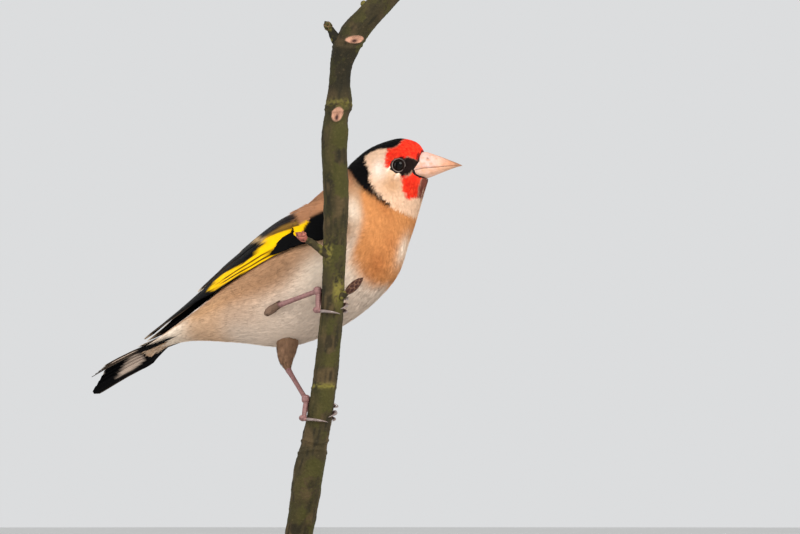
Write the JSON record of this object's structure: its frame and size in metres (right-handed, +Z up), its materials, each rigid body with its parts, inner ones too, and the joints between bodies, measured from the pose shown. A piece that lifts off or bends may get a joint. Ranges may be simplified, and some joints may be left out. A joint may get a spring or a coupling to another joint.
{
  "type": "life-size goldfinch model on a twig and display stand",
  "caption": "Small perching bird at life size with folded wings and notched tail, gripping an upright twig with both feet, on a turned wooden base.",
  "frame": {"origin": "middle of the flat underside of the display base", "axes": "+Z up along the stand, +X to the side that the bird faces, +Y to the bird's left side, away from the viewer"},
  "size_m": [0.1113, 0.084, 0.1891],
  "materials": {
    "plumage": "soft matte body feathers, buff, white, brown, black and red",
    "flight_feathers": "smooth black flight feathers with yellow and white marks",
    "bill": "satin pinkish ivory horn",
    "eye": "wet glossy dark brown",
    "leg_skin": "scaly pinkish brown skin",
    "claws": "smooth dark horn",
    "bark": "olive brown bark with lichen",
    "base_wood": "dark turned wood, satin lacquer",
    "rod_steel": "brushed"
  },
  "bodies": {
    "root": {"head": "plumage", "neck": "plumage", "torso": "plumage", "rump": "plumage", "tail": "flight_feathers", "wing_right": "flight_feathers", "wing_left": "flight_feathers", "bill_upper": "bill", "bill_lower": "bill", "eye_right": "eye", "eye_left": "eye", "thigh_right": "plumage", "thigh_left": "plumage", "tarsus_right": "leg_skin", "tarsus_left": "leg_skin", "foot_right": "leg_skin", "foot_left": "leg_skin", "claw_right_inner": "claws", "claw_right_middle": "claws", "claw_right_outer": "claws", "claw_right_hind": "claws", "claw_left_inner": "claws", "claw_left_middle": "claws", "claw_left_outer": "claws", "claw_left_hind": "claws", "perch_twig": "bark", "stand_base": "base_wood", "stand_rod": "rod_steel"}
  },
  "joints": []
}
